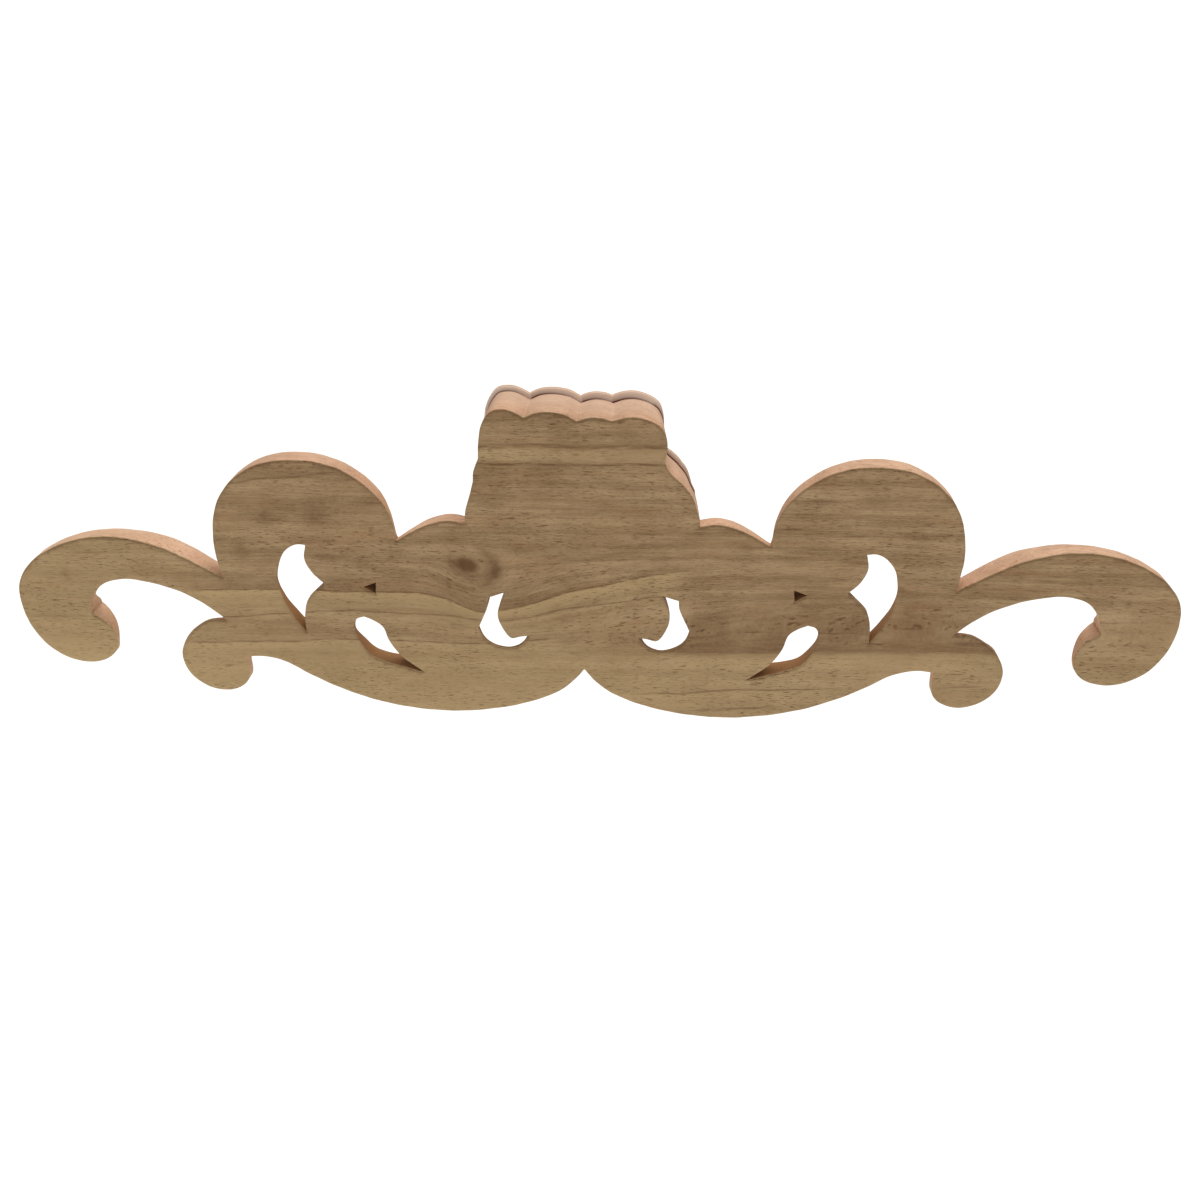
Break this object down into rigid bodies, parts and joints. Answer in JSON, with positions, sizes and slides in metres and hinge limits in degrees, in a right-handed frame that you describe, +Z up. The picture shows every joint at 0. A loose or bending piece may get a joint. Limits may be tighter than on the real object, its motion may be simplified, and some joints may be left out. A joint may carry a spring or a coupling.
{
  "type": "carved wood applique",
  "caption": "Long flat-backed carved wood applique: a fluted shell between mirrored pierced scrolls with curled tails, glued flat to furniture or a wall.",
  "frame": {"origin": "middle of the flat sawn back, on the line between the mirrored scrolls", "axes": "+X along the length, +Y out of the flat back towards what it is fixed to, +Z up"},
  "size_m": [0.4, 0.0246, 0.1158],
  "materials": {
    "rubberwood": "unfinished rubberwood, sawn flat on the back and sanded on the carved front, with fine level grain, short dark pore streaks and one pin knot"
  },
  "bodies": {
    "root": {"carved_applique": "rubberwood"}
  },
  "joints": []
}
